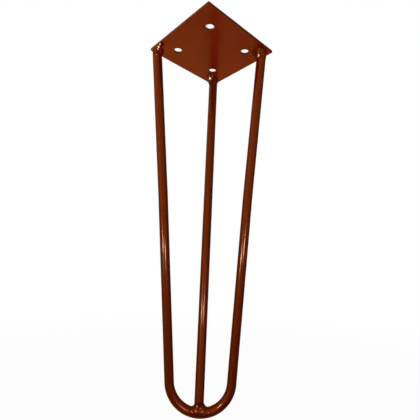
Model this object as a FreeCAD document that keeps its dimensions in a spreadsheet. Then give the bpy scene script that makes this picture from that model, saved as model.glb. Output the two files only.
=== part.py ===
import FreeCAD, Part

# Three-rod hairpin table leg, in millimetres.
#
# Frame: the origin is the middle of the plate's top face, which goes against the underside of the table.
# +Z is up, out of that face. The plate's diagonals lie along X and Y, so its corners point along the axes.
# The two arms of the bent rod end under the -X and +X corners, and the straight rod under the +Y corner,
# which is the outer corner of the table. The -Y corner carries no rod.

import math
import os
import Sketcher

doc = FreeCAD.newDocument("hairpin_leg")

# ---------------------------------------------------------------------------------------------------
# Driving dimensions
# ---------------------------------------------------------------------------------------------------
CELLS = [
    # alias, value, what it is
    ("overall_height", 457.2, "top face of the plate to the lowest point of the bend"),
    ("plate_side", 110.0, "side of the square plate"),
    ("plate_thick", 3.0, "thickness of the plate"),
    ("plate_edge", 0.4, "rounding of the painted plate edges"),
    ("hole_dia", 10.0, "screw holes through the plate"),
    ("hole_square", 60.0, "side of the square that the four hole centres make"),
    ("rod_dia", 12.0, "round bar"),
    ("arm_half", 66.67, "half the distance between the arms at the underside of the plate"),
    ("arm_shift", -2.6, "x of the hairpin's middle plane"),
    ("arm_set_y", 0.15, "y of both arms at the underside of the plate"),
    ("foot_set_y", 66.75, "y of the foot: the hairpin leans out to below the third rod"),
    ("bend_radius", 38.75, "centreline radius of the bend"),
    ("knee_drop", 185.0, "distance down the hairpin to the slight knee in each arm"),
    ("knee_left", 53.35, "half width of the hairpin at the left knee"),
    ("knee_right", 53.05, "half width of the hairpin at the right knee"),
    ("knee_radius", 1500.0, "radius that rounds each knee"),
    ("rod_stub", 8.0, "length left on each rod above the cut under the plate"),
    ("centre_top_x", 0.45, "x of the straight rod at the underside of the plate"),
    ("centre_foot_x", -3.8, "x of the straight rod at the bend"),
    ("weld_leg", 4.4, "leg of the welds on the plate"),
    ("weld_depth", 5.0, "how far those welds run down the rods"),
    ("weld_inset", 0.5, "bare strip between a weld and the edge of the plate"),
    ("foot_weld_dia", 18.4, "width of the weld in the bend"),
    ("foot_weld_up", 4.8, "height of that weld's middle over the bar's centreline"),
]
sheet = doc.addObject("Spreadsheet::Sheet", "dims")
for row, (alias, value, note) in enumerate(CELLS, start=1):
    sheet.set("A%d" % row, alias)
    sheet.set("B%d" % row, "%.6g" % value)
    sheet.setAlias("B%d" % row, alias)
    sheet.set("C%d" % row, note)
doc.recompute()


def dim(alias):
    """The value of a cell, as a number."""
    value = sheet.get(alias)
    return float(getattr(value, "Value", value))


# ---------------------------------------------------------------------------------------------------
# Helpers
# ---------------------------------------------------------------------------------------------------
def make_body(name):
    body = doc.addObject("PartDesign::Body", name)
    body.Label = name
    return body


def origin_plane(body, role):
    for feature in body.Origin.OriginFeatures:
        if feature.Role == role:
            return feature
    raise RuntimeError("no %s in %s" % (role, body.Label))


def make_sketch(body, name, role):
    sketch = body.newObject("Sketcher::SketchObject", name)
    sketch.AttachmentSupport = [(origin_plane(body, role), "")]
    sketch.MapMode = "FlatFace"
    return sketch


def bind(obj, prop, expression):
    obj.setExpression(prop, expression)


def constrain(sketch, name, expression, *args):
    """A named dimension of a sketch, bound to the sheet."""
    index = sketch.addConstraint(Sketcher.Constraint(*args))
    sketch.renameConstraint(index, name)
    sketch.setExpression("Constraints." + name, expression)
    return index


V = FreeCAD.Vector

# ---------------------------------------------------------------------------------------------------
# Plate: a square of sheet steel with its diagonals along X and Y
# ---------------------------------------------------------------------------------------------------
plate = make_body("mounting_plate")
outline = make_sketch(plate, "plate_outline", "XY_Plane")
h = dim("plate_side") / math.sqrt(2)
corners = [V(h, 0, 0), V(0, h, 0), V(-h, 0, 0), V(0, -h, 0)]
for i in range(4):
    outline.addGeometry(Part.LineSegment(corners[i], corners[(i + 1) % 4]), False)
for i in range(4):
    outline.addConstraint(Sketcher.Constraint("Coincident", i, 2, (i + 1) % 4, 1))
# the corners sit on the axes: the +X and -X ones on the horizontal axis, the others on the vertical one
outline.addConstraint(Sketcher.Constraint("PointOnObject", 0, 1, -1))
outline.addConstraint(Sketcher.Constraint("PointOnObject", 1, 1, -2))
outline.addConstraint(Sketcher.Constraint("PointOnObject", 2, 1, -1))
outline.addConstraint(Sketcher.Constraint("PointOnObject", 3, 1, -2))
outline.addConstraint(Sketcher.Constraint("Equal", 0, 1))
outline.addConstraint(Sketcher.Constraint("Equal", 1, 2))
constrain(outline, "side", "dims.plate_side", "Distance", 0, 1, 0, 2, dim("plate_side"))

slab = plate.newObject("PartDesign::Pad", "plate_slab")
slab.Profile = outline
slab.Reversed = True  # down from the table face
bind(slab, "Length", "dims.plate_thick")
doc.recompute()

rounded = plate.newObject("PartDesign::Fillet", "plate_edges")
rounded.Base = (slab, ["Edge%d" % (i + 1) for i in range(len(slab.Shape.Edges))])
bind(rounded, "Radius", "dims.plate_edge")
doc.recompute()

holes = make_sketch(plate, "hole_centres", "XY_Plane")
pitch = dim("hole_square") / math.sqrt(2)
hole_places = [V(pitch, 0, 0), V(0, pitch, 0), V(-pitch, 0, 0), V(0, -pitch, 0)]
for place in hole_places:
    holes.addGeometry(Part.Circle(place, V(0, 0, 1), dim("hole_dia") / 2), False)
for i in range(4):
    holes.addConstraint(Sketcher.Constraint("PointOnObject", i, 3, -1 if i % 2 == 0 else -2))
for i, kind in enumerate(("DistanceX", "DistanceY", "DistanceX", "DistanceY")):
    first, second = ((-1, 1), (i, 3)) if i < 2 else ((i, 3), (-1, 1))
    constrain(
        holes,
        "reach_%d" % i,
        "dims.hole_square / sqrt(2)",
        kind,
        first[0],
        first[1],
        second[0],
        second[1],
        pitch,
    )
for i in range(1, 4):
    holes.addConstraint(Sketcher.Constraint("Equal", 0, i))
constrain(holes, "bore", "dims.hole_dia", "Diameter", 0, dim("hole_dia"))
before = rounded.Shape.Volume
drilled = plate.newObject("PartDesign::Pocket", "screw_holes")
drilled.Profile = holes
drilled.Type = "ThroughAll"
doc.recompute()
cut = before - drilled.Shape.Volume
expected = 4 * math.pi * (dim("hole_dia") / 2) ** 2 * dim("plate_thick")
if abs(cut - expected) > 0.01 * expected:
    raise RuntimeError("the screw holes took %.1f mm3, not %.1f" % (cut, expected))

# the painted rim of each hole has the same soft edge
rims = []
for i, edge in enumerate(drilled.Shape.Edges):
    if edge.isClosed() and abs(edge.Length - math.pi * dim("hole_dia")) < 1e-6:
        rims.append("Edge%d" % (i + 1))
eased = plate.newObject("PartDesign::Fillet", "hole_rims")
eased.Base = (drilled, rims)
bind(eased, "Radius", "dims.plate_edge * 0.75")
plate.Tip = eased
doc.recompute()

# ---------------------------------------------------------------------------------------------------
# Hairpin: one round bar, bent in its own plane. The plane leans out towards +Y, so the bar is drawn upright
# in the body's XZ plane, with the body's origin between the arms at the underside of the plate, and the body
# is then turned about X.
# ---------------------------------------------------------------------------------------------------
radius = dim("rod_dia") / 2
drop = dim("overall_height") - radius - dim("plate_thick")  # underside of the plate to the bend's centreline
out = dim("foot_set_y") - dim("arm_set_y")
lean = math.atan2(out, drop)
run = math.hypot(out, drop)  # length of the hairpin in its own plane

hairpin = make_body("hairpin_rod")
path = make_sketch(hairpin, "hairpin_path", "XZ_Plane")

bend = dim("bend_radius")
half = dim("arm_half")
stub = dim("rod_stub")
knee_drop = dim("knee_drop")
knee_radius = dim("knee_radius")
bend_mid = V(0, -(run - bend), 0)


def arm_geometry(side, knee_half):
    """One arm (side -1 or 1): a straight upper length, a very slight knee and a straight lower length that meets
    the bend tangentially. Returns its upper end, its axis at the plate, the knee's corner, the two ends and the
    centre of the knee's arc, and the point where the arm meets the bend."""
    top = V(side * half, 0, 0)
    knee = V(side * knee_half, -knee_drop, 0)
    upper = (knee - top).normalize()
    end = top - upper * (stub / -upper.y)
    # the line from the knee that touches the bend on its outer side
    to_mid = bend_mid - knee
    reach = math.sqrt(to_mid.dot(to_mid) - bend**2)
    turn = -side * math.atan2(bend, reach)
    unit = V(to_mid.x, to_mid.y, 0).normalize()
    lower = V(unit.x * math.cos(turn) + unit.y * math.sin(turn), unit.y * math.cos(turn) - unit.x * math.sin(turn), 0)
    touch = knee + lower * reach
    # the knee's arc has its centre far out beside the arm
    turned = upper.getAngle(lower)
    leg = knee_radius * math.tan(turned / 2)
    start, finish = knee - upper * leg, knee + lower * leg
    outward = V(-upper.y, upper.x, 0)
    if outward.x * side < 0:
        outward = outward * -1
    return end, top, knee, start, finish, start + outward * knee_radius, touch


def round_arc(centre, size, start, end):
    """Anticlockwise from start to end, as a sketch stores an arc."""
    a = math.atan2(start.y - centre.y, start.x - centre.x)
    b = math.atan2(end.y - centre.y, end.x - centre.x)
    return Part.ArcOfCircle(Part.Circle(centre, V(0, 0, 1), size), a, b)


left = arm_geometry(-1, dim("knee_left"))
right = arm_geometry(1, dim("knee_right"))
# drawn in order along the bar, from the upper end of the left arm to the upper end of the right arm
left_upper = path.addGeometry(Part.LineSegment(left[0], left[3]), False)
left_knee = path.addGeometry(round_arc(left[5], knee_radius, left[4], left[3]), False)
left_lower = path.addGeometry(Part.LineSegment(left[4], left[6]), False)
bottom = path.addGeometry(round_arc(bend_mid, bend, left[6], right[6]), False)
right_lower = path.addGeometry(Part.LineSegment(right[6], right[4]), False)
right_knee = path.addGeometry(round_arc(right[5], knee_radius, right[3], right[4]), False)
right_upper = path.addGeometry(Part.LineSegment(right[3], right[0]), False)

path.addConstraint(Sketcher.Constraint("Tangent", left_upper, 2, left_knee, 2))
path.addConstraint(Sketcher.Constraint("Tangent", left_knee, 1, left_lower, 1))
path.addConstraint(Sketcher.Constraint("Tangent", left_lower, 2, bottom, 1))
path.addConstraint(Sketcher.Constraint("Tangent", bottom, 2, right_lower, 1))
path.addConstraint(Sketcher.Constraint("Tangent", right_lower, 2, right_knee, 2))
path.addConstraint(Sketcher.Constraint("Tangent", right_knee, 1, right_upper, 1))
path.addConstraint(Sketcher.Constraint("PointOnObject", bottom, 3, -2))
constrain(path, "bend_radius", "dims.bend_radius", "Radius", bottom, bend)
RUN = "hypot(dims.foot_set_y - dims.arm_set_y; dims.overall_height - dims.rod_dia / 2 - dims.plate_thick)"
constrain(path, "bend_depth", RUN + " - dims.bend_radius", "DistanceY", bottom, 3, -1, 1, run - bend)
for arm, side, name, upper_line, lower_line, arc in (
    (left, -1, "left", left_upper, left_lower, left_knee),
    (right, 1, "right", right_upper, right_lower, right_knee),
):
    # where the arm's axis meets the underside of the plate
    mark = path.addGeometry(Part.Point(arm[1]), True)
    path.addConstraint(Sketcher.Constraint("PointOnObject", mark, 1, -1))
    path.addConstraint(Sketcher.Constraint("PointOnObject", mark, 1, upper_line))
    ends = (mark, 1, -1, 1) if side < 0 else (-1, 1, mark, 1)
    constrain(path, name + "_half", "dims.arm_half", "DistanceX", *ends, half)
    # the corner that the knee rounds off
    corner = path.addGeometry(Part.Point(arm[2]), True)
    path.addConstraint(Sketcher.Constraint("PointOnObject", corner, 1, upper_line))
    path.addConstraint(Sketcher.Constraint("PointOnObject", corner, 1, lower_line))
    ends = (corner, 1, -1, 1) if side < 0 else (-1, 1, corner, 1)
    constrain(path, name + "_knee", "dims.knee_" + name, "DistanceX", *ends, dim("knee_" + name))
    constrain(path, name + "_knee_drop", "dims.knee_drop", "DistanceY", corner, 1, -1, 1, knee_drop)
    constrain(path, name + "_knee_radius", "dims.knee_radius", "Radius", arc, knee_radius)
constrain(path, "left_stub", "dims.rod_stub", "DistanceY", -1, 1, left_upper, 1, stub)
constrain(path, "right_stub", "dims.rod_stub", "DistanceY", -1, 1, right_upper, 2, stub)
doc.recompute()

# the bar's round section, drawn square to the path at the upper end of the left arm
section = hairpin.newObject("Sketcher::SketchObject", "bar_section")
section.AttachmentSupport = [(path, "Edge1")]
section.MapMode = "NormalToEdge"
section.MapPathParameter = 0.0
circle = section.addGeometry(Part.Circle(V(0, 0, 0), V(0, 0, 1), radius), False)
section.addConstraint(Sketcher.Constraint("Coincident", circle, 3, -1, 1))
constrain(section, "section_dia", "dims.rod_dia", "Diameter", circle, dim("rod_dia"))
doc.recompute()

bar = hairpin.newObject("PartDesign::AdditivePipe", "bent_bar")
bar.Profile = section
bar.Spine = path
doc.recompute()
length = sum(edge.Length for edge in path.Shape.Edges)
swept = math.pi * radius**2 * length
if abs(bar.Shape.Volume - swept) > 0.002 * swept:
    raise RuntimeError("the bent bar holds %.0f mm3, not %.0f" % (bar.Shape.Volume, swept))

# both arms are cut off flush with the underside of the plate, which is level while the hairpin leans
LEAN = "atan2(dims.foot_set_y - dims.arm_set_y; dims.overall_height - dims.rod_dia / 2 - dims.plate_thick)"


def flush_cut(body, name, angle, angle_expression, plane):
    """Takes away all of a rod that stands above a line through the body's origin, tipped by an angle."""
    cutter = make_sketch(body, name + "_line", plane)
    along = V(math.cos(angle), -math.sin(angle), 0)
    above = V(math.sin(angle), math.cos(angle), 0)
    wide, high = 30.0, 30.0
    loop = [along * -wide, along * wide, along * wide + above * high, along * -wide + above * high]
    for i in range(4):
        cutter.addGeometry(Part.LineSegment(loop[i], loop[(i + 1) % 4]), False)
    for i in range(4):
        cutter.addConstraint(Sketcher.Constraint("Coincident", i, 2, (i + 1) % 4, 1))
    cutter.addConstraint(Sketcher.Constraint("Symmetric", 0, 1, 0, 2, -1, 1))
    cutter.addConstraint(Sketcher.Constraint("Perpendicular", 0, 1))
    cutter.addConstraint(Sketcher.Constraint("Perpendicular", 1, 2))
    cutter.addConstraint(Sketcher.Constraint("Perpendicular", 2, 3))
    cutter.addConstraint(Sketcher.Constraint("Distance", 0, 1, 0, 2, 2 * wide))
    cutter.addConstraint(Sketcher.Constraint("Distance", 1, 1, 1, 2, high))
    # the angle between the line and the horizontal axis, from the line's left end
    constrain(cutter, "tip", angle_expression, "Angle", 0, 1, -1, 1, angle)
    doc.recompute()
    before = body.Shape.Volume
    trim = body.newObject("PartDesign::Pocket", name)
    trim.Profile = cutter
    trim.Type = "ThroughAll"
    trim.SideType = "Symmetric"
    body.Tip = trim
    doc.recompute()
    return before - trim.Shape.Volume


def check_cut(name, taken, expected):
    if abs(taken - expected) > 0.05 * expected:
        raise RuntimeError("%s took %.1f mm3, not about %.1f" % (name, taken, expected))


taken = flush_cut(hairpin, "arm_tops", lean, LEAN, "YZ_Plane")
check_cut("arm_tops", taken, 2 * math.pi * radius**2 * stub)
bind(hairpin, "Placement.Base.x", "dims.arm_shift")
bind(hairpin, "Placement.Base.y", "dims.arm_set_y")
bind(hairpin, "Placement.Base.z", "-dims.plate_thick")
hairpin.Placement = FreeCAD.Placement(
    V(dim("arm_shift"), dim("arm_set_y"), -dim("plate_thick")),
    FreeCAD.Rotation(V(1, 0, 0), math.degrees(lean)),
)
doc.recompute()

# ---------------------------------------------------------------------------------------------------
# Straight rod: plumb when seen from the side, it tips a little towards -X at the foot. Its lower end is notched
# to sit over the inside of the bend.
# ---------------------------------------------------------------------------------------------------
tip = math.atan2(dim("centre_top_x") - dim("centre_foot_x"), drop)
TIP = "atan2(dims.centre_top_x - dims.centre_foot_x; dims.overall_height - dims.rod_dia / 2 - dims.plate_thick)"
STRAIGHT = "hypot(dims.centre_top_x - dims.centre_foot_x; dims.overall_height - dims.rod_dia / 2 - dims.plate_thick)"
straight = make_body("centre_rod_bar")
disc = make_sketch(straight, "rod_section", "XY_Plane")
disc.AttachmentOffset = FreeCAD.Placement(V(0, 0, stub), FreeCAD.Rotation())
bind(disc, "AttachmentOffset.Base.z", "dims.rod_stub")
circle = disc.addGeometry(Part.Circle(V(0, 0, 0), V(0, 0, 1), radius), False)
disc.addConstraint(Sketcher.Constraint("Coincident", circle, 3, -1, 1))
constrain(disc, "rod_dia", "dims.rod_dia", "Diameter", circle, dim("rod_dia"))
rod = straight.newObject("PartDesign::Pad", "rod_length")
rod.Profile = disc
rod.Reversed = True
# it stops a little above the centreline of the bend, so the notch leaves no thin horns
bind(rod, "Length", STRAIGHT + " + dims.rod_stub - dims.rod_dia * 0.22")
doc.recompute()
taken = flush_cut(straight, "rod_top", -tip, "-" + TIP, "XZ_Plane")
check_cut("rod_top", taken, math.pi * radius**2 * stub)
bind(straight, "Placement.Base.x", "dims.centre_top_x")
bind(straight, "Placement.Base.y", "dims.foot_set_y")
bind(straight, "Placement.Base.z", "-dims.plate_thick")
straight.Placement = FreeCAD.Placement(
    V(dim("centre_top_x"), dim("foot_set_y"), -dim("plate_thick")),
    FreeCAD.Rotation(V(0, 1, 0), math.degrees(tip)),
)
doc.recompute()

centre_rod = doc.addObject("Part::Cut", "centre_rod")
centre_rod.Label = "centre_rod"
centre_rod.Base = straight
centre_rod.Tool = hairpin
doc.recompute()

# ---------------------------------------------------------------------------------------------------
# Welds: a bead round the top of each rod, and one in the bend round the foot of the straight rod
# ---------------------------------------------------------------------------------------------------
# nothing of a bead reaches the edge of the plate or goes above its underside
blank = doc.addObject("Part::Box", "weld_zone")
bind(blank, "Length", "dims.plate_side - 2 * dims.weld_inset")
bind(blank, "Width", "dims.plate_side - 2 * dims.weld_inset")
bind(blank, "Height", "20")
doc.recompute()
side = dim("plate_side") - 2 * dim("weld_inset")
turn45 = FreeCAD.Rotation(V(0, 0, 1), 45)
middle = turn45.multVec(V(side / 2, side / 2, 0))
blank.Placement = FreeCAD.Placement(V(-middle.x, -middle.y, -dim("plate_thick") - 20), turn45)
doc.recompute()


def plate_weld(name, rod_object, top, down):
    """A tapered collar about a rod whose axis passes through top and points along down, less the rod."""
    collar = doc.addObject("Part::Cone", name + "_collar")
    bind(collar, "Height", "dims.weld_depth + 4")
    # wide end up: the slope of the collar carries on above the plate's underside, where it is cut away
    slope = "(dims.weld_leg - dims.rod_dia * 0.06) / dims.weld_depth"
    bind(collar, "Radius1", "dims.rod_dia / 2 + dims.rod_dia * 0.06")
    bind(collar, "Radius2", "dims.rod_dia / 2 + dims.weld_leg + 4 * %s" % slope)
    doc.recompute()
    base = top + down * dim("weld_depth")
    collar.Placement = FreeCAD.Placement(base, FreeCAD.Rotation(V(0, 0, 1), down * -1))
    doc.recompute()
    trimmed = doc.addObject("Part::Common", name + "_trimmed")
    trimmed.Base = collar
    trimmed.Tool = blank
    doc.recompute()
    bead = doc.addObject("Part::Cut", name)
    bead.Label = name
    bead.Base = trimmed
    bead.Tool = rod_object
    doc.recompute()
    return bead


def arm_axis(arm):
    """Where an arm's axis meets the underside of the plate, and its direction down, in the part's frame."""
    top, knee = arm[1], arm[2]
    down = (knee - top).normalize()
    spot = hairpin.Placement.multVec(V(top.x, 0, top.y))
    return spot, hairpin.Placement.Rotation.multVec(V(down.x, 0, down.y))


welds = []
for name, arm in (("weld_left_arm", left), ("weld_right_arm", right)):
    spot, down = arm_axis(arm)
    welds.append(plate_weld(name, hairpin, spot, down))
spot = straight.Placement.multVec(V(0, 0, 0))
down = straight.Placement.Rotation.multVec(V(0, 0, -1))
welds.append(plate_weld("weld_centre_rod", straight, spot, down))

blob = doc.addObject("Part::Sphere", "foot_blob")
bind(blob, "Radius", "dims.foot_weld_dia / 2")
doc.recompute()
blob.Placement = FreeCAD.Placement(
    straight.Placement.multVec(V(0, 0, -(math.hypot(dim("centre_top_x") - dim("centre_foot_x"), drop) - dim("foot_weld_up")))),
    FreeCAD.Rotation(),
)
doc.recompute()
saddle = doc.addObject("Part::Cut", "foot_blob_saddle")
saddle.Base = blob
saddle.Tool = hairpin
doc.recompute()
weld_foot = doc.addObject("Part::Cut", "weld_foot")
weld_foot.Label = "weld_foot"
weld_foot.Base = saddle
weld_foot.Tool = centre_rod
doc.recompute()
welds.append(weld_foot)

# ---------------------------------------------------------------------------------------------------
# Checks and files
# ---------------------------------------------------------------------------------------------------
doc.recompute()
for obj in doc.Objects:
    if any(flag in obj.State for flag in ("Invalid", "Error")):
        raise RuntimeError("%s is %s" % (obj.Label, obj.State))

nodes = [plate, hairpin, centre_rod] + welds
os.makedirs("parts", exist_ok=True)
for node in nodes:
    shape = node.Shape
    if shape.isNull() or not shape.isValid():
        raise RuntimeError("%s has no valid shape" % node.Label)
    if len(shape.Solids) != 1:
        raise RuntimeError("%s has %d solids" % (node.Label, len(shape.Solids)))
for node in nodes:
    shape = node.Shape
    box = shape.BoundBox
    print(
        "%-16s %10.1f mm3  x %7.2f %7.2f  y %7.2f %7.2f  z %8.2f %7.2f"
        % (node.Label, shape.Volume, box.XMin, box.XMax, box.YMin, box.YMax, box.ZMin, box.ZMax)
    )
    shape.exportStep("parts/%s.step" % node.Label)
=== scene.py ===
import math

import bmesh
import bpy
import numpy as np
from mathutils import Matrix, Vector


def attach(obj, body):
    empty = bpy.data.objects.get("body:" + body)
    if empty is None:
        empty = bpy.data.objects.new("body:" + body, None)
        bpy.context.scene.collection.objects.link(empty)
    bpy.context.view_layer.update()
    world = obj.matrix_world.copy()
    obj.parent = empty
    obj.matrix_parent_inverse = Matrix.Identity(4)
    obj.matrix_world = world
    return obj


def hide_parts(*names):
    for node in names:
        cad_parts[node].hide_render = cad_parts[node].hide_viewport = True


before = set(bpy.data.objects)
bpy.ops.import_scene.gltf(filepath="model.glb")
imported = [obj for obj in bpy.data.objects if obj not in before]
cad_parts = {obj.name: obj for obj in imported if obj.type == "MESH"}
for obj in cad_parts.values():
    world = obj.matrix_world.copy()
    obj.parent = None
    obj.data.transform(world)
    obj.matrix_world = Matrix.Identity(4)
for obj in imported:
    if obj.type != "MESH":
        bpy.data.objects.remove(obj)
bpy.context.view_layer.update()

# ---------------------------------------------------------------------------------------------------
# Sizes, in millimetres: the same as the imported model's. Everything is built in millimetres with numpy and
# becomes metres when its mesh is made.
# ---------------------------------------------------------------------------------------------------
HEIGHT = 457.2
PLATE_SIDE = 110.0
PLATE_THICK = 3.0
HOLE_R = 5.0
HOLE_SQUARE = 60.0
R = 6.0                      # radius of the round bar
ARM_HALF, ARM_SHIFT, ARM_Y = 66.67, -2.6, 0.15
FOOT_Y = 66.75
BEND_R = 38.75
KNEE_DROP, KNEE_L, KNEE_R, KNEE_RADIUS = 185.0, 53.35, 53.05, 1500.0
TOP_X, FOOT_X = 0.45, -3.8   # the straight rod's x at the plate and at the bend

UNDER = -PLATE_THICK
DROP = HEIGHT - R - PLATE_THICK
OUT = FOOT_Y - ARM_Y
LEAN = math.atan2(OUT, DROP)
RUN = math.hypot(OUT, DROP)
BEND_MID = np.array([0.0, -(RUN - BEND_R)])


def hairpin_to_row(p):
    """Points (x, v, n) of the hairpin's own plane (v up along it, n out of it towards +Y) to the row frame."""
    p = np.atleast_2d(np.asarray(p, float))
    x, v, n = p[:, 0], p[:, 1], p[:, 2] if p.shape[1] > 2 else np.zeros(len(p))
    c, s = math.cos(LEAN), math.sin(LEAN)
    return np.c_[x + ARM_SHIFT, n * c - v * s + ARM_Y, n * s + v * c + UNDER]


def row_to_hairpin(p):
    x, y, z = p[..., 0] - ARM_SHIFT, p[..., 1] - ARM_Y, p[..., 2] - UNDER
    c, s = math.cos(LEAN), math.sin(LEAN)
    return x, -y * s + z * c, y * c + z * s


# ---------------------------------------------------------------------------------------------------
# Noise: fixed sums of waves, so every run gives the same shapes
# ---------------------------------------------------------------------------------------------------
def waves(p, size, seed, n=7):
    """Smooth noise of about -1..1 at points p (mm) with features of about the given size."""
    rng = np.random.RandomState(seed)
    out = np.zeros(p.shape[:-1])
    for _ in range(n):
        d = rng.normal(size=3)
        d /= np.linalg.norm(d)
        k = 2 * math.pi / (size * rng.uniform(0.7, 1.5))
        out += np.sin((p @ d) * k + rng.uniform(0, 2 * math.pi))
    return out / math.sqrt(n) * 0.8


# ---------------------------------------------------------------------------------------------------
# Mesh helpers
# ---------------------------------------------------------------------------------------------------
def add_mesh(name, verts_mm, faces, smooth=True):
    me = bpy.data.meshes.new(name)
    me.from_pydata((np.asarray(verts_mm) / 1000.0).tolist(), [], [list(map(int, f)) for f in faces])
    me.validate()
    me.update()
    ob = bpy.data.objects.new(name, me)
    bpy.context.scene.collection.objects.link(ob)
    me.polygons.foreach_set("use_smooth", [smooth] * len(me.polygons))
    return ob


def frames_along(points, first_side):
    """Tangents and a pair of sides for each point of a line, carried along with no twist."""
    t = np.gradient(points, axis=0)
    t /= np.linalg.norm(t, axis=1)[:, None]
    a = np.zeros_like(t)
    side = np.asarray(first_side, float)
    for i in range(len(t)):
        side = side - t[i] * (side @ t[i])
        side /= np.linalg.norm(side)
        a[i] = side
    return t, a, np.cross(t, a)


def tube(points, first_side, radius, sides=72, seed=1, ends=(None, None)):
    """A round bar along points. Ring vertices are moved along the bar onto the planes or surfaces in ends, so that
    a cut end is true. The surface has the faint unevenness of rolled and painted bar."""
    t, a, b = frames_along(points, first_side)
    ang = np.arange(sides) * 2 * math.pi / sides
    ring = np.cos(ang)[None, :, None] * a[:, None, :] + np.sin(ang)[None, :, None] * b[:, None, :]
    base = points[:, None, :] + ring * radius
    uneven = 0.025 * waves(base, 26.0, seed) + 0.012 * waves(base, 9.0, seed + 1)
    worn = np.exp(-(((base[..., 2] + HEIGHT) / 12.0) ** 2))   # a little off the underside that it stands on
    verts = points[:, None, :] + ring * (radius + uneven - 0.06 - 0.05 * worn)[..., None]
    for which, cut in ((0, ends[0]), (-1, ends[1])):
        if cut is not None:
            verts[which] = cut(verts[which], t[which] * (1 if which else -1))
    n = len(points)
    v = verts.reshape(-1, 3)
    faces = []
    for i in range(n - 1):
        for j in range(sides):
            k = (j + 1) % sides
            faces.append((i * sides + j, i * sides + k, (i + 1) * sides + k, (i + 1) * sides + j))
    first, last = len(v), len(v) + 1
    v = np.vstack([v, verts[0].mean(0), verts[-1].mean(0)])
    for j in range(sides):
        k = (j + 1) % sides
        faces.append((first, k, j))
        faces.append((last, (n - 1) * sides + j, (n - 1) * sides + k))
    return v, faces


def onto_plane_z(z):
    def cut(ring, along):
        move = (z - ring[:, 2]) / along[2]
        return ring + along[None, :] * move[:, None]
    return cut


# ---------------------------------------------------------------------------------------------------
# Bars
# ---------------------------------------------------------------------------------------------------
def arm(side, knee_half):
    top = np.array([side * ARM_HALF, 0.0])
    knee = np.array([side * knee_half, -KNEE_DROP])
    upper = (knee - top) / np.linalg.norm(knee - top)
    to_mid = BEND_MID - knee
    reach = math.sqrt(to_mid @ to_mid - BEND_R**2)
    turn = -side * math.atan2(BEND_R, reach)
    u = to_mid / np.linalg.norm(to_mid)
    lower = np.array([u[0] * math.cos(turn) + u[1] * math.sin(turn), u[1] * math.cos(turn) - u[0] * math.sin(turn)])
    touch = knee + lower * reach
    bent = math.acos(min(1.0, float(upper @ lower)))
    leg = KNEE_RADIUS * math.tan(bent / 2)
    start, finish = knee - upper * leg, knee + lower * leg
    outward = np.array([-upper[1], upper[0]])
    if outward[0] * side < 0:
        outward = -outward
    return top, start, finish, start + outward * KNEE_RADIUS, touch


def line(p, q, step):
    n = max(2, int(np.linalg.norm(q - p) / step) + 1)
    return p + (q - p) * np.linspace(0, 1, n)[:, None]


def arc(centre, radius, p, q, step):
    a0 = math.atan2(*(p - centre)[::-1])
    a1 = math.atan2(*(q - centre)[::-1])
    d = (a1 - a0 + math.pi) % (2 * math.pi) - math.pi
    n = max(3, int(abs(d) * radius / step) + 1)
    a = a0 + d * np.linspace(0, 1, n)
    return centre + radius * np.c_[np.cos(a), np.sin(a)]


left_arm, right_arm = arm(-1, KNEE_L), arm(1, KNEE_R)
L_TOUCH, R_TOUCH = left_arm[4], right_arm[4]
parts_2d = [
    line(left_arm[0], left_arm[1], 3.0),
    arc(left_arm[3], KNEE_RADIUS, left_arm[1], left_arm[2], 3.0),
    line(left_arm[2], L_TOUCH, 3.0),
]
low = BEND_MID + np.array([0.0, -BEND_R])
parts_2d += [
    arc(BEND_MID, BEND_R, L_TOUCH, low, 1.0),
    arc(BEND_MID, BEND_R, low, R_TOUCH, 1.0),
    line(R_TOUCH, right_arm[2], 3.0),
    arc(right_arm[3], KNEE_RADIUS, right_arm[2], right_arm[1], 3.0),
    line(right_arm[1], right_arm[0], 3.0),
]
path_2d = [parts_2d[0]] + [p[1:] for p in parts_2d[1:]]
path_2d = np.vstack(path_2d)
hairpin_path = hairpin_to_row(np.c_[path_2d, np.zeros(len(path_2d))])

v, f = tube(hairpin_path, (-1, 0, 0), R, seed=11, ends=(onto_plane_z(UNDER), onto_plane_z(UNDER)))
hairpin = add_mesh("hairpin_bar", v, f)

STRAIGHT_TOP = np.array([TOP_X, FOOT_Y, UNDER])
STRAIGHT_FOOT = np.array([FOOT_X, FOOT_Y, -HEIGHT + R])
STRAIGHT_DIR = (STRAIGHT_FOOT - STRAIGHT_TOP) / np.linalg.norm(STRAIGHT_FOOT - STRAIGHT_TOP)


def bend_distance(p):
    """Distance of points from the centreline of the bend (valid near the foot)."""
    x, v_, n_ = row_to_hairpin(np.asarray(p, float))
    rho = np.hypot(x - BEND_MID[0], v_ - BEND_MID[1]) - BEND_R
    return np.hypot(rho, n_)


def onto_bend(ring, along):
    """The foot of the straight rod, notched to sit over the bend; its tips stop a little above the bar's middle."""
    out = ring.copy()
    limit = STRAIGHT_TOP + STRAIGHT_DIR * (np.linalg.norm(STRAIGHT_FOOT - STRAIGHT_TOP) - R * 0.44)
    for i in range(len(ring)):
        p = ring[i] - along * ((ring[i] - STRAIGHT_TOP) @ along) + along * ((limit - STRAIGHT_TOP) @ along - 14.0)
        far = (limit - p) @ along
        step = 0.0
        for _ in range(60):
            d = bend_distance(p + along * step) - (R - 0.15)
            if d < 1e-3 or step > far:
                break
            step += d
        out[i] = p + along * min(step, far)
    return out


straight_len = np.linalg.norm(STRAIGHT_FOOT - STRAIGHT_TOP)
stops = np.r_[np.arange(0, straight_len - 20, 3.0), straight_len - 16, straight_len - 12]
straight_path = STRAIGHT_TOP + STRAIGHT_DIR * stops[:, None]
v, f = tube(straight_path, (-1, 0, 0), R, seed=23, ends=(onto_plane_z(UNDER), onto_bend))
straight = add_mesh("straight_bar", v, f)


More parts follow.
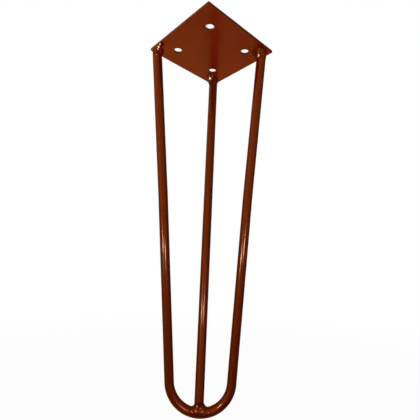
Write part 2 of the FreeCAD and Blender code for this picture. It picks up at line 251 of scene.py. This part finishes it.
# ---------------------------------------------------------------------------------------------------
# Plate: sheared square with four drilled holes; the paint softens every edge
# ---------------------------------------------------------------------------------------------------
def make_plate():
    edge = 0.38
    cu = bpy.data.curves.new("plate_outline", "CURVE")
    cu.dimensions = "2D"
    cu.fill_mode = "BOTH"

    def spline(points):
        s = cu.splines.new("POLY")
        s.points.add(len(points) - 1)
        s.points.foreach_set("co", np.c_[points, np.zeros(len(points)), np.ones(len(points))].ravel())
        s.use_cyclic_u = True

    half = PLATE_SIDE / 2 - edge
    corner = 0.5
    loop = []
    for q in range(4):
        for k in range(7):
            a = math.radians(90 * q + 90 * k / 6)
            cx = (half - corner) * (1 if q in (0, 3) else -1)
            cy = (half - corner) * (1 if q in (0, 1) else -1)
            loop.append((cx + corner * math.cos(a), cy + corner * math.sin(a)))
    loop = np.array(loop)
    # straight sides get points of their own
    dense = []
    for i in range(len(loop)):
        p, q = loop[i], loop[(i + 1) % len(loop)]
        n = max(1, int(np.linalg.norm(q - p) / 2.5))
        dense += [p + (q - p) * k / n for k in range(n)]
    dense = np.array(dense)
    c = math.sqrt(0.5)
    turned = np.c_[dense[:, 0] * c - dense[:, 1] * c, dense[:, 0] * c + dense[:, 1] * c]
    spline(turned)
    reach = HOLE_SQUARE / math.sqrt(2)
    for k in range(4):
        a = math.radians(90 * k)
        centre = np.array([reach * math.cos(a), reach * math.sin(a)])
        ang = np.linspace(0, 2 * math.pi, 64, endpoint=False)
        r = HOLE_R + edge
        spline(centre + r * np.c_[np.cos(ang), np.sin(ang)])
    cu.extrude = PLATE_THICK / 2 - edge
    cu.bevel_depth = edge
    cu.bevel_resolution = 3
    ob = bpy.data.objects.new("plate_tmp", cu)
    bpy.context.scene.collection.objects.link(ob)
    bpy.context.view_layer.update()
    me = bpy.data.meshes.new_from_object(ob.evaluated_get(bpy.context.evaluated_depsgraph_get()))
    bpy.data.objects.remove(ob)
    bpy.data.curves.remove(cu)
    me.name = "plate"
    bm = bmesh.new()
    bm.from_mesh(me)
    bmesh.ops.remove_doubles(bm, verts=bm.verts, dist=1e-4)
    bmesh.ops.recalc_face_normals(bm, faces=bm.faces)
    for vert in bm.verts:
        vert.co = Vector((vert.co.x, vert.co.y, vert.co.z - PLATE_THICK / 2)) / 1000.0
    bm.to_mesh(me)
    bm.free()
    obj = bpy.data.objects.new("plate", me)
    bpy.context.scene.collection.objects.link(obj)
    normals = np.zeros(len(me.polygons) * 3)
    me.polygons.foreach_get("normal", normals)
    flat = np.abs(normals.reshape(-1, 3)[:, 2]) > 0.999
    me.polygons.foreach_set("use_smooth", (~flat).tolist())
    return obj


plate = make_plate()


# ---------------------------------------------------------------------------------------------------
# Welds: level surfaces of a field that blends the rods, the plate and dabs of filler into each other
# ---------------------------------------------------------------------------------------------------
def smin(a, b, k):
    h = np.clip(k - np.abs(a - b), 0, None) / k
    return np.minimum(a, b) - h * h * k / 4.0


def line_distance(p, start, direction):
    d = p - start
    along = d @ direction
    return np.linalg.norm(d - along[..., None] * direction, axis=-1), along


def plate_field(p):
    c = math.sqrt(0.5)
    x, y, z = p[..., 0], p[..., 1], p[..., 2] + PLATE_THICK / 2
    e = 0.4
    q = np.stack(
        [
            np.abs(x * c + y * c) - PLATE_SIDE / 2 + e,
            np.abs(y * c - x * c) - PLATE_SIDE / 2 + e,
            np.abs(z) - PLATE_THICK / 2 + e,
        ],
        axis=-1,
    )
    return np.linalg.norm(np.clip(q, 0, None), axis=-1) + np.clip(q.max(-1), None, 0) - e


def dab(p, centre, radius, stretch=(1, 1, 1)):
    """A rounded dab of filler: an ellipsoid's distance, near enough."""
    s = np.asarray(stretch, float)
    q = (p - np.asarray(centre, float)) / s
    return (np.linalg.norm(q, axis=-1) - radius) * s.min()


def to_run(p, start, finish):
    """Distance of points from the straight run between two places."""
    d = finish - start
    t = np.clip(((p - start) @ d) / max(d @ d, 1e-9), 0, 1)
    return np.linalg.norm(p - start - t[..., None] * d, axis=-1)


def ridge(p, start, finish, radius):
    """A straight run of filler with rounded ends."""
    return to_run(p, np.asarray(start, float), np.asarray(finish, float)) - radius


def flatten(p, body, start, finish, normal, bend, soft=0.9):
    """Wears the filler down to a nearly flat face along the run from start to finish; the face still curves
    across, with the radius bend."""
    n = normal / np.linalg.norm(normal)
    t = (finish - start) / np.linalg.norm(finish - start)
    t = t - n * (t @ n)
    t /= np.linalg.norm(t)
    across, _ = line_distance(p, start - bend * n, t)
    cut = across - bend - 1.2 * np.clip(to_run(p, start, finish) - 1.6, 0, None)
    return -smin(-body, -cut, soft)


def polygonise(field, low, high, step):
    """Naive surface nets over a box: one vertex in each cell that the surface crosses, one quad for each crossed
    grid edge; the vertices are then pulled onto the surface."""
    low, high = np.asarray(low, float), np.asarray(high, float)
    n = np.ceil((high - low) / step).astype(int) + 1
    axes = [low[i] + step * np.arange(n[i]) for i in range(3)]
    grid = np.stack(np.meshgrid(*axes, indexing="ij"), axis=-1)
    val = field(grid)
    val[0], val[-1], val[:, 0], val[:, -1], val[:, :, 0], val[:, :, -1] = 1, 1, 1, 1, 1, 1
    inside = val < 0
    cell = tuple(k - 1 for k in n)
    count = np.zeros(cell)
    total = np.zeros(cell + (3,))

    def corner(o):
        return tuple(slice(o[i], o[i] + cell[i]) for i in range(3))

    for axis in range(3):
        for u in (0, 1):
            for w in (0, 1):
                a = [0, 0, 0]
                others = [i for i in range(3) if i != axis]
                a[others[0]], a[others[1]] = u, w
                b = list(a)
                b[axis] = 1
                va, vb = val[corner(a)], val[corner(b)]
                cross = (va < 0) != (vb < 0)
                t = np.where(cross, va / np.where(cross, va - vb, 1), 0)
                point = np.zeros(cell + (3,))
                for i in range(3):
                    point[..., i] = a[i]
                point[..., axis] = t
                total += np.where(cross[..., None], point, 0)
                count += cross
    has = count > 0
    index = -np.ones(cell, int)
    index[has] = np.arange(has.sum())
    where = np.argwhere(has)
    verts = low + step * (where + total[has] / count[has][:, None])
    faces = []
    for axis in range(3):
        others = [i for i in range(3) if i != axis]
        sl_a = [slice(1, -1)] * 3
        sl_b = [slice(1, -1)] * 3
        sl_a[axis], sl_b[axis] = slice(0, -1), slice(1, None)
        ia, ib = inside[tuple(sl_a)], inside[tuple(sl_b)]
        for sign, sel in ((1, ia & ~ib), (-1, ~ia & ib)):
            at = np.argwhere(sel)
            if not len(at):
                continue
            base = at.copy()
            for o in others:
                base[:, o] += 1
            quad = []
            for du, dw in ((0, 0), (1, 0), (1, 1), (0, 1)):
                c = base.copy()
                c[:, others[0]] -= du
                c[:, others[1]] -= dw
                quad.append(index[c[:, 0], c[:, 1], c[:, 2]])
            quad = np.stack(quad, axis=1)
            flip = (sign > 0) != (axis == 1)
            faces.append(quad if flip else quad[:, ::-1])
    faces = np.vstack(faces)
    for _ in range(4):
        h = 0.02
        d = field(verts)
        g = np.stack([(field(verts + h * e) - field(verts - h * e)) / (2 * h) for e in np.eye(3)], axis=-1)
        gg = np.clip((g * g).sum(-1), 0.05, None)
        move = -g * (d / gg)[:, None]
        size = np.linalg.norm(move, axis=1)
        move *= np.minimum(1, 0.5 * step / np.maximum(size, 1e-9))[:, None]
        verts = verts + 0.8 * move
    return verts, faces


def weld_mesh(name, field, low, high, step):
    v_, f_ = polygonise(field, low, high, step)
    ob = add_mesh(name, v_, f_)
    bm = bmesh.new()
    bm.from_mesh(ob.data)
    bmesh.ops.remove_doubles(bm, verts=bm.verts, dist=2e-6)
    bmesh.ops.dissolve_degenerate(bm, edges=bm.edges, dist=1e-6)
    bmesh.ops.recalc_face_normals(bm, faces=bm.faces)
    for face in bm.faces:
        face.smooth = True
    bm.to_mesh(ob.data)
    bm.free()
    return ob


SKIN = 0.14        # how far the weld's surface lies inside the steel where it runs out
ROOT = 1.5         # how deep the filler goes into the rod and the plate


def by_angle(table):
    """A smooth round-the-rod table of sizes from (degrees, size) pairs; 0 is +X and -90 is -Y."""
    table = sorted(((a % 360), k) for a, k in table)
    deg = np.arange(360.0)
    k = np.interp(deg, [t[0] for t in table], [t[1] for t in table], period=360)
    width = np.exp(-0.5 * (np.minimum(deg, 360 - deg) / 14.0) ** 2)
    k = np.real(np.fft.ifft(np.fft.fft(k) * np.fft.fft(width / width.sum())))
    return lambda angle: np.interp(np.degrees(angle) % 360, np.r_[deg, 360.0], np.r_[k, k[0]])


def lumps(p, size, seed):
    return 0.07 * waves(p, size, seed) + 0.015 * waves(p, size * 0.5, seed + 1)


def plate_weld(name, foot, direction, dabs, ridges, faces, fillet, seed, reach=15.5):
    foot, direction = np.asarray(foot, float), np.asarray(direction, float)
    size = by_angle(fillet)

    def field(p):
        rod, along = line_distance(p, foot, direction)
        rod = np.maximum(rod - R, -along - 0.6)
        sheet = plate_field(p)
        offset = p - foot - along[..., None] * direction
        k = size(np.arctan2(offset[..., 1], offset[..., 0]))
        body = smin(rod + SKIN, sheet + SKIN, k)
        for centre, radius, stretch, soft in dabs:
            body = smin(body, dab(p, foot + np.asarray(centre, float), radius, stretch), soft)
        for start, finish, radius, soft in ridges:
            body = smin(body, ridge(p, foot + np.asarray(start), foot + np.asarray(finish), radius), soft)
        near = np.clip(np.minimum(rod, sheet) * 1.2 - 0.15, 0, 1)
        for start, finish, normal, bend in faces:
            start, finish = foot + np.asarray(start), foot + np.asarray(finish)
            body = flatten(p, body, start, finish, np.asarray(normal), bend)
            near = near * np.clip((to_run(p, start, finish) - 1.2) / 2.5, 0.05, 1)
        body = body + lumps(p, 5.4, seed) * near
        # the root stops inside the rod and the plate, and the piece ends a short way from the joint
        body = np.maximum(body, -(rod + ROOT))
        body = np.maximum(body, p[..., 2] - (UNDER + 1.2))
        c = math.sqrt(0.5)
        past_edge = np.maximum(np.abs(p[..., 0] + p[..., 1]), np.abs(p[..., 1] - p[..., 0])) * c - PLATE_SIDE / 2
        body = np.maximum(body, np.minimum(past_edge + 0.35, p[..., 2] - UNDER + 0.3))
        return np.maximum(body, np.linalg.norm(p - foot, axis=-1) - reach)

    box = reach + 0.5
    return weld_mesh(name, field, foot - np.array([box, box, 16.0]), foot + np.array([box, box, 2.2]), 0.42)


def unit(v_):
    v_ = np.asarray(v_, float)
    return v_ / np.linalg.norm(v_)


left_foot = hairpin_to_row([[*left_arm[0], 0.0]])[0]
right_foot = hairpin_to_row([[*right_arm[0], 0.0]])[0]
left_dir = unit(hairpin_to_row([[*left_arm[1], 0.0]])[0] - left_foot)
right_dir = unit(hairpin_to_row([[*right_arm[1], 0.0]])[0] - right_foot)

# dabs: centre from the joint, radius, stretch, how softly it joins what is there; ridges: from, to, radius, softness
weld_left = plate_weld(
    "weld_left", left_foot, left_dir,
    [
        ((2.0, -2.8, -3.0), 4.2, (1.0, 1.0, 1.1), 3.0),
        ((-1.4, -3.2, -1.2), 3.4, (1.0, 1.0, 1.0), 2.6),
        ((4.6, 0.6, -1.4), 3.4, (0.9, 1.3, 1.1), 3.0),
        ((1.6, 4.8, -1.2), 3.2, (1.3, 0.9, 1.0), 3.0),
    ],
    [
        ((4.6, -9.4, -3.1), (2.2, -3.6, -5.6), 2.9, 2.2),
        ((6.9, -12.2, 0.05), (4.6, -9.4, -3.15), 3.6, 2.4),
    ],
    [((6.4, -14.8, -1.8), (4.1, -12.0, -5.0), (-0.158, -0.807, -0.570), 32.0)],
    [(-90, 3.0), (-45, 3.4), (0, 4.0), (45, 4.0), (90, 3.6), (180, 2.0), (-135, 2.4)], 31, reach=18.5,
)
weld_right = plate_weld(
    "weld_right", right_foot, right_dir,
    [
        ((-1.9, 0.6, -3.7), 6.9, (1.0, 1.0, 1.0), 2.8),
        ((-6.4, 1.0, -1.0), 4.0, (1.3, 1.2, 1.0), 4.0),
        ((-2.4, -4.0, -0.4), 3.9, (1.1, 1.0, 1.0), 3.0),
        ((-1.0, 5.0, -1.0), 3.6, (1.3, 0.9, 1.0), 3.0),
    ],
    [
        ((-4.4, -5.2, -0.4), (-3.7, -3.35, -4.2), 3.3, 2.4),
        ((-3.7, -3.35, -4.2), (-3.05, -1.9, -6.8), 3.6, 2.0),
    ],
    [((-4.55, -5.34, -7.41), (-4.25, -4.66, -8.59), (-0.34, -0.78, -0.53), 10.0)],
    [(-90, 2.0), (-135, 3.0), (180, 7.0), (135, 5.0), (90, 3.4), (0, 2.0), (-45, 1.8)], 37,
)
weld_top = plate_weld(
    "weld_straight", STRAIGHT_TOP, STRAIGHT_DIR,
    [
        ((-2.4, -2.8, -2.6), 4.2, (1.0, 1.0, 1.1), 3.2),
        ((1.4, -3.8, -1.0), 3.8, (1.1, 1.0, 1.0), 3.0),
        ((3.0, -0.6, -0.8), 3.4, (1.0, 1.2, 1.0), 2.8),
        ((0.4, 4.6, -1.0), 3.4, (1.3, 0.9, 1.0), 3.0),
    ],
    [
        ((-3.2, -10.6, -3.2), (-0.6, -3.6, -5.8), 2.9, 2.4),
        ((-5.05, -11.95, -0.17), (-3.65, -10.35, -3.47), 3.55, 2.0),
        ((-0.9, -13.3, -0.25), (-3.0, -11.7, -3.55), 3.3, 1.0),
    ],
    [
        ((-5.8, -14.6, -1.8), (-4.4, -13.0, -5.1), (-0.234, -0.828, -0.510), 46.0),
        ((-0.4, -15.8, -1.8), (-2.5, -14.2, -5.1), (0.169, -0.840, -0.515), 36.0),
    ],
    [(-90, 3.0), (-140, 4.4), (180, 8.0), (135, 6.0), (90, 4.0), (0, 2.4), (-40, 2.4)], 41, reach=19.0,
)

FOOT_DABS = [
    ((-10.0, -4.3, 3.3), 2.0, (1.45, 1.0, 1.3), 3.2),
    ((-1.7, -4.0, 7.8), 2.0, (1.2, 1.0, 1.2), 1.8),
    ((3.3, -3.3, 6.6), 2.0, (1.2, 1.0, 1.2), 1.8),
    ((9.2, -4.2, 2.9), 2.0, (1.3, 1.0, 1.2), 2.8),
    ((0.2, -3.6, 2.6), 2.0, (1.5, 0.8, 1.0), 4.0),
    ((3.6, 1.4, 6.2), 2.4, (1.1, 1.3, 1.0), 4.0),
    ((-4.4, 3.6, 5.2), 2.5, (1.2, 1.0, 1.0), 3.4),
    ((4.4, 3.8, 4.8), 2.4, (1.2, 1.0, 1.0), 3.4),
    ((0.0, 5.0, 3.6), 2.2, (1.4, 0.8, 1.0), 3.4),
]


def foot_field(p):
    rod, along = line_distance(p, STRAIGHT_TOP, STRAIGHT_DIR)
    rod = np.maximum(rod - R, along - straight_len + 4.0)
    bar = bend_distance(p) - R
    side = np.clip((p[..., 0] - STRAIGHT_FOOT[0]) / 12.0 + 0.5, 0, 1)
    front = np.clip(np.abs(p[..., 1] - STRAIGHT_FOOT[1]) / R, 0, 1) ** 2
    worn = np.exp(-(((p[..., 2] + HEIGHT) / 12.0) ** 2))
    body = smin(rod + SKIN, bar + SKIN + 0.08 * worn, (5.6 + 2.6 * side) * (1 - front) + 3.4 * front)
    for centre, radius, stretch, soft in FOOT_DABS:
        body = smin(body, dab(p, STRAIGHT_FOOT + np.asarray(centre, float), radius, stretch), soft)
    near = np.clip(np.minimum(rod, bar) * 1.2 - 0.1, 0, 1)
    body = body + 0.55 * lumps(p, 4.8, 53) * near
    body = np.maximum(body, -(rod + ROOT))
    body = np.maximum(body, -(bar + ROOT))
    return np.maximum(body, np.linalg.norm(p - (STRAIGHT_FOOT + np.array([0, 0, 5.0])), axis=-1) - 14.5)


weld_foot = weld_mesh(
    "weld_at_foot", foot_field, STRAIGHT_FOOT + np.array([-15, -15, -10.0]), STRAIGHT_FOOT + np.array([15, 15, 20.0]), 0.42
)


# ---------------------------------------------------------------------------------------------------
# Paint
# ---------------------------------------------------------------------------------------------------
def make_paint(name, deep, light, rough=(0.14, 0.22), peel=1.0, tint=(1.0, 0.50, 0.25, 1.0), coat=0.0, seed=0.0, dull=None):
    """Glossy copper-brown paint: deep and light are the two browns that it drifts between."""
    m = bpy.data.materials.new(name)
    m.use_nodes = True
    nt = m.node_tree
    nt.nodes.clear()
    out = nt.nodes.new("ShaderNodeOutputMaterial")
    bsdf = nt.nodes.new("ShaderNodeBsdfPrincipled")
    nt.links.new(bsdf.outputs["BSDF"], out.inputs["Surface"])
    coord = nt.nodes.new("ShaderNodeTexCoord")
    shift = nt.nodes.new("ShaderNodeMapping")
    shift.inputs["Location"].default_value = (seed, seed * 0.37, seed * 0.71)
    nt.links.new(coord.outputs["Object"], shift.inputs["Vector"])

    def noise(scale, detail=2.0, roughness=0.5):
        n = nt.nodes.new("ShaderNodeTexNoise")
        n.inputs["Scale"].default_value = scale
        n.inputs["Detail"].default_value = detail
        n.inputs["Roughness"].default_value = roughness
        nt.links.new(shift.outputs["Vector"], n.inputs["Vector"])
        return n.outputs["Fac"]

    def remap(source, a, b, c, d):
        r = nt.nodes.new("ShaderNodeMapRange")
        r.inputs["From Min"].default_value = a
        r.inputs["From Max"].default_value = b
        r.inputs["To Min"].default_value = c
        r.inputs["To Max"].default_value = d
        nt.links.new(source, r.inputs["Value"])
        return r.outputs["Result"]

    mix = nt.nodes.new("ShaderNodeMix")
    mix.data_type = "RGBA"
    mix.inputs["A"].default_value = (*deep, 1)
    mix.inputs["B"].default_value = (*light, 1)
    nt.links.new(remap(noise(38.0, 3.0), 0.3, 0.7, 0.0, 1.0), mix.inputs["Factor"])
    # very fine flake in the paint
    flake = nt.nodes.new("ShaderNodeMix")
    flake.data_type = "RGBA"
    flake.blend_type = "MULTIPLY"
    flake.inputs["Factor"].default_value = 1.0
    nt.links.new(mix.outputs["Result"], flake.inputs["A"])
    grey = nt.nodes.new("ShaderNodeCombineColor")
    level = remap(noise(1500.0, 1.0), 0.3, 0.7, 0.95, 1.05)
    for ch in ("Red", "Green", "Blue"):
        nt.links.new(level, grey.inputs[ch])
    nt.links.new(grey.outputs["Color"], flake.inputs["B"])
    nt.links.new(flake.outputs["Result"], bsdf.inputs["Base Color"])
    gloss = remap(noise(60.0, 3.0, 0.6), 0.3, 0.7, rough[0], rough[1])
    if dull is not None:
        # one spot where the coat is thinner and less glossy: (centre in mm, inner and outer radius in mm, extra)
        centre, inner, outer, extra = dull
        away = nt.nodes.new("ShaderNodeVectorMath")
        away.operation = "DISTANCE"
        away.inputs[1].default_value = [0.001 * float(c) for c in centre]
        nt.links.new(coord.outputs["Object"], away.inputs[0])
        total = nt.nodes.new("ShaderNodeMath")
        total.operation = "ADD"
        nt.links.new(gloss, total.inputs[0])
        nt.links.new(remap(away.outputs["Value"], 0.001 * inner, 0.001 * outer, extra, 0.0), total.inputs[1])
        gloss = total.outputs["Value"]
    nt.links.new(gloss, bsdf.inputs["Roughness"])
    bsdf.inputs["IOR"].default_value = 1.5
    bsdf.inputs["Specular Tint"].default_value = tint
    bsdf.inputs["Coat Weight"].default_value = coat
    bsdf.inputs["Coat Roughness"].default_value = 0.06
    # orange peel over a slower waviness
    bump1 = nt.nodes.new("ShaderNodeBump")
    bump1.inputs["Strength"].default_value = 0.5 * peel
    bump1.inputs["Distance"].default_value = 0.00020
    nt.links.new(noise(140.0, 2.0), bump1.inputs["Height"])
    bump2 = nt.nodes.new("ShaderNodeBump")
    bump2.inputs["Strength"].default_value = 0.5 * peel
    bump2.inputs["Distance"].default_value = 0.00003
    nt.links.new(noise(900.0, 2.0), bump2.inputs["Height"])
    nt.links.new(bump1.outputs["Normal"], bump2.inputs["Normal"])
    nt.links.new(bump2.outputs["Normal"], bsdf.inputs["Normal"])
    return m


DULL_AT = math.radians(40.0)
DULL_SPOT = hairpin_to_row([[-BEND_R * math.sin(DULL_AT), BEND_MID[1] - BEND_R * math.cos(DULL_AT), 0.0]])[0]
rod_paint = make_paint(
    "rod_paint", (0.186, 0.0078, 0.0003), (0.214, 0.0098, 0.0005), rough=(0.105, 0.16), seed=0.13,
    dull=(DULL_SPOT, 10.0, 22.0, 0.12),
)
plate_paint = make_paint("plate_paint", (0.184, 0.0092, 0.0001), (0.212, 0.0114, 0.0002), seed=1.7, peel=0.7)
weld_paint = make_paint("weld_paint", (0.178, 0.0074, 0.0003), (0.210, 0.0096, 0.0005), rough=(0.07, 0.13), seed=2.9, peel=0.4)

for piece, nodes, slot, paint in (
    (plate, ("mounting_plate",), "plate_paint", plate_paint),
    (hairpin, ("hairpin_rod",), "rod_paint", rod_paint),
    (straight, ("centre_rod",), "rod_paint", rod_paint),
    (weld_left, ("weld_left_arm",), "weld_paint", weld_paint),
    (weld_right, ("weld_right_arm",), "weld_paint", weld_paint),
    (weld_top, ("weld_centre_rod",), "weld_paint", weld_paint),
    (weld_foot, ("weld_foot",), "weld_paint", weld_paint),
):
    piece.data.materials.clear()
    piece.data.materials.append(paint)
    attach(piece, "root")
    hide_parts(*nodes)


# ---------------------------------------------------------------------------------------------------
# Floor, backdrop, light
# ---------------------------------------------------------------------------------------------------
def make_floor():
    bm = bmesh.new()
    bmesh.ops.create_circle(bm, cap_ends=True, segments=128, radius=9.0)
    me = bpy.data.meshes.new("floor")
    bm.to_mesh(me)
    bm.free()
    ob = bpy.data.objects.new("floor", me)
    ob.location = (0, 0.07, -HEIGHT / 1000.0)
    bpy.context.scene.collection.objects.link(ob)
    m = bpy.data.materials.new("floor_pale")
    m.use_nodes = True
    nt = m.node_tree
    nt.nodes.clear()
    out = nt.nodes.new("ShaderNodeOutputMaterial")
    matt = nt.nodes.new("ShaderNodeBsdfDiffuse")
    matt.inputs["Color"].default_value = (0.86, 0.86, 0.86, 1)
    glow = nt.nodes.new("ShaderNodeEmission")
    glow.inputs["Color"].default_value = (1, 1, 1, 1)
    glow.inputs["Strength"].default_value = 1.0
    mix = nt.nodes.new("ShaderNodeMixShader")
    coord = nt.nodes.new("ShaderNodeTexCoord")
    length = nt.nodes.new("ShaderNodeVectorMath")
    length.operation = "LENGTH"
    nt.links.new(coord.outputs["Object"], length.inputs[0])
    fade = nt.nodes.new("ShaderNodeMapRange")
    fade.interpolation_type = "SMOOTHSTEP"
    fade.inputs["From Min"].default_value = 0.10
    fade.inputs["From Max"].default_value = 1.1
    fade.inputs["To Min"].default_value = 0.955
    fade.inputs["To Max"].default_value = 1.0
    nt.links.new(length.outputs["Value"], fade.inputs["Value"])
    nt.links.new(fade.outputs["Result"], mix.inputs[0])
    nt.links.new(matt.outputs[0], mix.inputs[1])
    nt.links.new(glow.outputs[0], mix.inputs[2])
    nt.links.new(mix.outputs[0], out.inputs["Surface"])
    m.cycles.emission_sampling = "NONE"
    me.materials.append(m)
    ob.visible_glossy = False
    ob.visible_diffuse = False
    ob.visible_shadow = False
    return ob


floor = make_floor()


def area(name, at, aim, size, power, colour=(1, 1, 1), glossy=True, diffuse=True, shape="DISK", size_y=None):
    li = bpy.data.lights.new(name, "AREA")
    li.shape = shape
    li.size = size
    if size_y is not None:
        li.size_y = size_y
    li.energy = power
    li.color = colour
    ob = bpy.data.objects.new(name, li)
    bpy.context.scene.collection.objects.link(ob)
    ob.location = at
    ob.rotation_euler = (Vector(aim) - Vector(at)).to_track_quat("-Z", "Y").to_euler()
    ob.visible_camera = False
    ob.visible_glossy = glossy
    ob.visible_diffuse = diffuse
    return ob


MIDDLE = (0.0, 0.03, -0.22)


def around(azimuth, elevation, distance, centre=MIDDLE):
    """A place seen from the middle of the leg: azimuth 0 is -Y, 90 is +X."""
    a, e = math.radians(azimuth), math.radians(elevation)
    return (
        centre[0] + distance * math.sin(a) * math.cos(e),
        centre[1] - distance * math.cos(a) * math.cos(e),
        centre[2] + distance * math.sin(e),
    )


def beside(azimuth, z, distance=0.9):
    a = math.radians(azimuth)
    return (distance * math.sin(a), 0.03 - distance * math.cos(a), z)


# soft lights: name, place, size, power, colour
SOFT_WHITE = (1.0, 0.96, 0.92)
SOFT = (
    ("front", beside(-15, -0.15), 0.45, 0.92, SOFT_WHITE),
    ("front_high", beside(-15, 0.15), 0.45, 0.52, SOFT_WHITE),
    ("front_left", beside(-50, -0.15), 0.45, 1.31, SOFT_WHITE),
    ("front_right", beside(55, -0.15), 0.45, 1.01, SOFT_WHITE),
    ("under_back", around(180, -35, 1.2), 0.9, 9.9, SOFT_WHITE),
    ("under_right", around(130, -40, 1.2), 0.9, 3.2, SOFT_WHITE),
    ("under_left", around(-130, -40, 1.2), 0.9, 1.2, SOFT_WHITE),
    ("under", around(170, -75, 1.0), 0.7, 3.3, SOFT_WHITE),
    ("rear_left", around(-140, 30, 1.2), 0.8, 2.0, SOFT_WHITE),
    ("rear_right", around(140, 30, 1.2), 0.8, 2.0, SOFT_WHITE),
    ("top", (0.1, 0.1, 1.0), 0.8, 4.0, SOFT_WHITE),
)
for name, place, size, power, colour in SOFT:
    area(name, place, MIDDLE, size, power, colour, glossy=False)

# two small lamps low on either side of the camera, seen as the narrow streaks on the bars
LAMPS = (
    ("lamp_left", (-0.490, -0.660, -0.434), 0.078, 1.52, (0.98, 1.05, 1.28)),
    ("lamp_right", (0.240, -0.630, -0.410), 0.062, 1.00, (0.98, 1.05, 1.28)),
)
for name, place, size, power, colour in LAMPS:
    area(name, place, (0, 0.03, -0.30), size, power, colour, diffuse=False)

# what the gloss reflects of the room: soft warm glows (azimuth, elevation, sharpness, colour)
GLOWS = (
    (-30, 0, 7.0, (1.96, 1.00, 0.37)),
    (30, 0, 7.0, (1.34, 0.66, 0.20)),
    (0, 30, 7.0, (0.21, 0.11, 0.01)),
    (-60, 0, 7.0, (0.38, 0.31, 0.10)),
    (60, 0, 7.0, (0.29, 0.10, 0.07)),
    (-60, 30, 7.0, (0.91, 0.19, 0.02)),
    (60, 30, 7.0, (0.36, 0.25, 0.07)),
    (-90, 32, 7.0, (0.84, 0.60, 0.30)),
    (-150, -32, 7.0, (0.46, 0.42, 0.055)),
    (-120, -60, 7.0, (0.27, 0.22, 0.04)),
    (-60, -60, 7.0, (0.06, 0.05, 0.04)),
    (60, -32, 7.0, (0.03, 0.02, 0.05)),
    (0, 62, 7.0, (1.50, 0.52, 0.04)),
    (90, 0, 7.0, (0.10, 0.09, 0.02)),
    (150, 20, 7.0, (0.27, 0.17, 0.10)),
    (-150, 20, 7.0, (0.27, 0.17, 0.11)),
)
world = bpy.data.worlds.new("studio")
bpy.context.scene.world = world
world.use_nodes = True
world.cycles.sampling_method = "NONE"
nt = world.node_tree
nt.nodes.clear()
out = nt.nodes.new("ShaderNodeOutputWorld")
path = nt.nodes.new("ShaderNodeLightPath")
direction = nt.nodes.new("ShaderNodeTexCoord")
total = None
for azimuth, elevation, sharp, colour in GLOWS:
    dot = nt.nodes.new("ShaderNodeVectorMath")
    dot.operation = "DOT_PRODUCT"
    nt.links.new(direction.outputs["Generated"], dot.inputs[0])
    dot.inputs[1].default_value = around(azimuth, elevation, 1.0, (0, 0, 0))
    steep = nt.nodes.new("ShaderNodeMath")
    steep.operation = "MULTIPLY_ADD"
    nt.links.new(dot.outputs["Value"], steep.inputs[0])
    steep.inputs[1].default_value = sharp
    steep.inputs[2].default_value = -sharp
    lobe = nt.nodes.new("ShaderNodeMath")
    lobe.operation = "EXPONENT"
    nt.links.new(steep.outputs[0], lobe.inputs[0])
    tinted = nt.nodes.new("ShaderNodeVectorMath")
    tinted.operation = "MULTIPLY_ADD"
    nt.links.new(lobe.outputs[0], tinted.inputs[0])
    tinted.inputs[1].default_value = colour
    tinted.inputs[2].default_value = (0, 0, 0)
    if total is not None:
        nt.links.new(total, tinted.inputs[2])
    total = tinted.outputs["Vector"]
glows = nt.nodes.new("ShaderNodeBackground")
nt.links.new(total, glows.inputs["Color"])
fill = nt.nodes.new("ShaderNodeBackground")
fill.inputs["Color"].default_value = (1.0, 0.95, 0.9, 1)
fill.inputs["Strength"].default_value = 0.0
seen = nt.nodes.new("ShaderNodeBackground")
seen.inputs["Color"].default_value = (1, 1, 1, 1)
seen.inputs["Strength"].default_value = 1.0
by_gloss = nt.nodes.new("ShaderNodeMixShader")
nt.links.new(path.outputs["Is Glossy Ray"], by_gloss.inputs[0])
nt.links.new(fill.outputs[0], by_gloss.inputs[1])
nt.links.new(glows.outputs[0], by_gloss.inputs[2])
by_camera = nt.nodes.new("ShaderNodeMixShader")
nt.links.new(path.outputs["Is Camera Ray"], by_camera.inputs[0])
nt.links.new(by_gloss.outputs[0], by_camera.inputs[1])
nt.links.new(seen.outputs[0], by_camera.inputs[2])
nt.links.new(by_camera.outputs[0], out.inputs["Surface"])

# ---------------------------------------------------------------------------------------------------
# Camera
# ---------------------------------------------------------------------------------------------------
CAM_AT = np.array([22.848, -377.743, -274.956]) / 1000.0
CAM_RIGHT = np.array([0.9996011486210226, 0.007949776701199044, 0.02709879565466667])
CAM_DOWN = np.array([0.025280644080177384, 0.17578645720456174, -0.9841036584112266])
CAM_FORWARD = np.array([-0.012587005617846545, 0.9843962223179596, 0.17551536905840023])
cam_data = bpy.data.cameras.new("camera")
cam_data.sensor_fit = "HORIZONTAL"
cam_data.sensor_width = 36.0
cam_data.lens = 329.641 / 420 * 36.0
cam_data.shift_x = -(221.147 - 210) / 420
cam_data.clip_start = 0.01
cam_data.clip_end = 100
cam = bpy.data.objects.new("camera", cam_data)
bpy.context.scene.collection.objects.link(cam)
rot = Matrix([CAM_RIGHT.tolist(), (-CAM_DOWN).tolist(), (-CAM_FORWARD).tolist()]).transposed()
cam.matrix_world = Matrix.Translation(Vector(CAM_AT.tolist())) @ rot.to_4x4()
bpy.context.scene.camera = cam

bpy.context.scene.view_settings.view_transform = "Standard"
bpy.context.scene.view_settings.look = "None"
bpy.context.scene.view_settings.exposure = 0.0
bpy.context.scene.view_settings.gamma = 1.0
